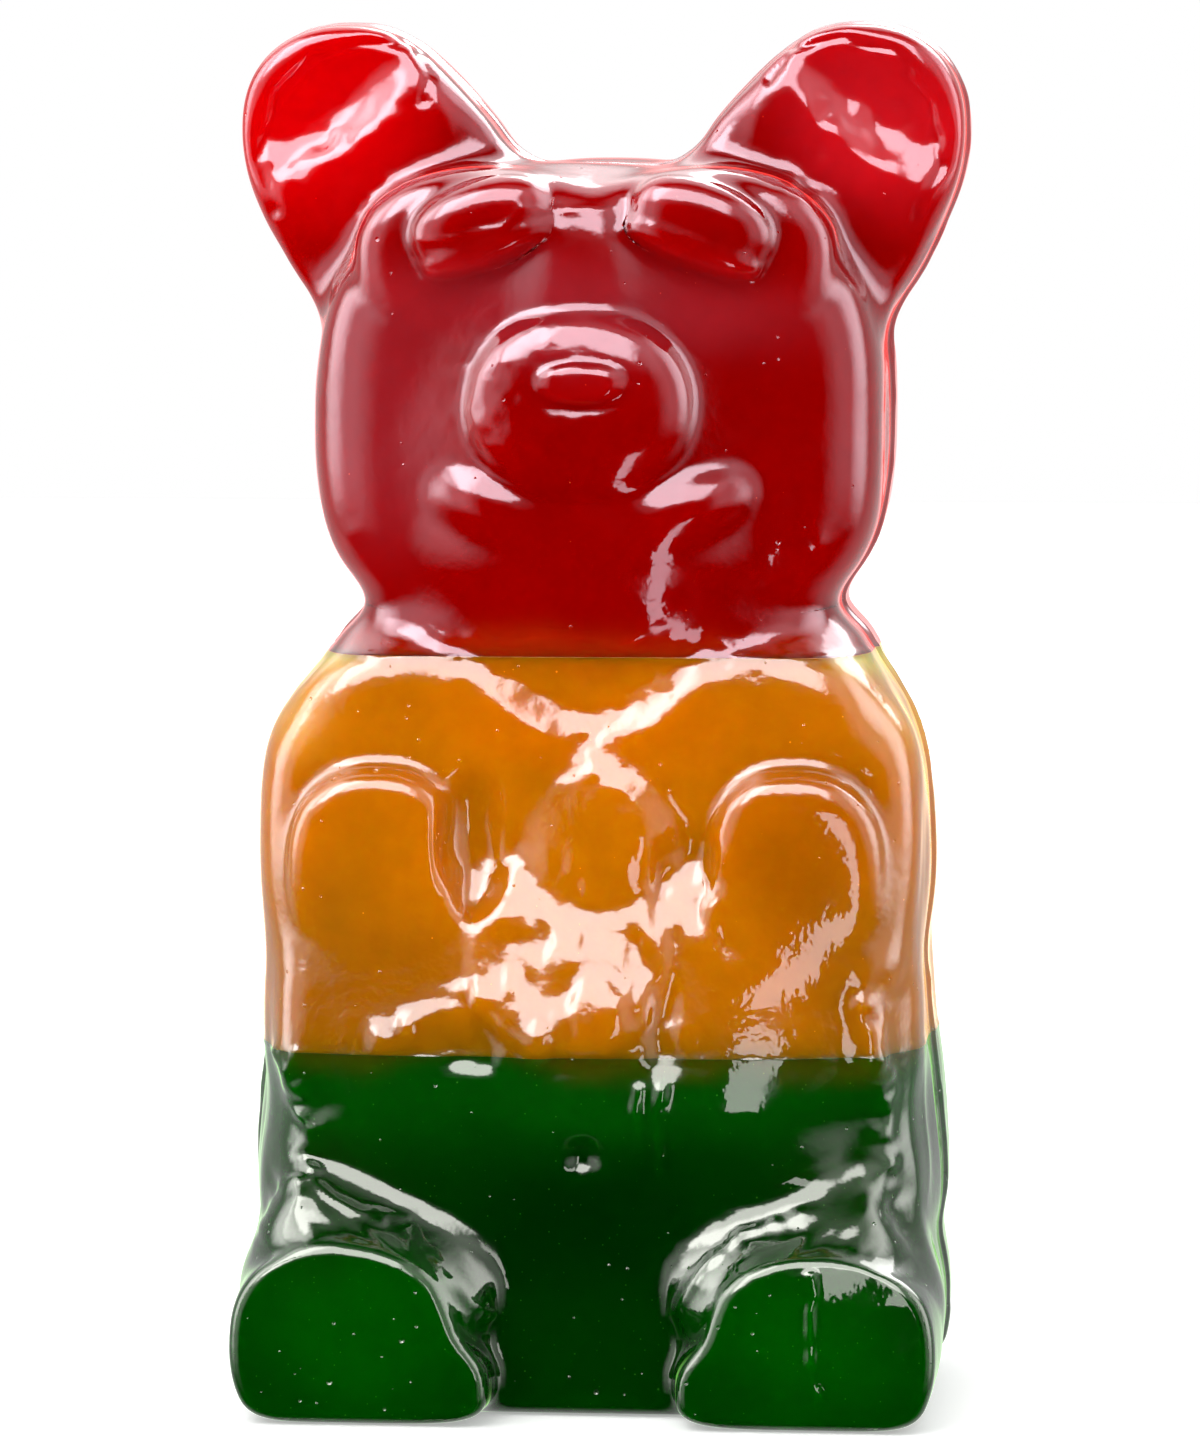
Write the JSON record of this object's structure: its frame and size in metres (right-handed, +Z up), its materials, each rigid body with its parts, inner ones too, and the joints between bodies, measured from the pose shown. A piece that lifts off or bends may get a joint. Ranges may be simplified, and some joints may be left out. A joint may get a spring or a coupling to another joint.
{
  "type": "giant gummy bear",
  "caption": "Large sitting gummy bear moulded in one piece from red, orange and green flavour layers, with round dished ears, a snout, raised paws and flat soles.",
  "frame": {"origin": "centre of the bear's bounding box on the level it sits on", "axes": "+Z up from the feet to the ears, -Y towards the face and the soles, +X to the viewer's right when the face is seen from the front"},
  "size_m": [0.1268, 0.0894, 0.2406],
  "materials": {
    "green_gummy": "glossy translucent green gelatine gummy",
    "orange_gummy": "glossy translucent orange gelatine gummy",
    "red_gummy": "glossy translucent red gelatine gummy"
  },
  "bodies": {
    "root": {"green_layer": "green_gummy", "orange_layer": "orange_gummy", "red_layer": "red_gummy"}
  },
  "joints": []
}
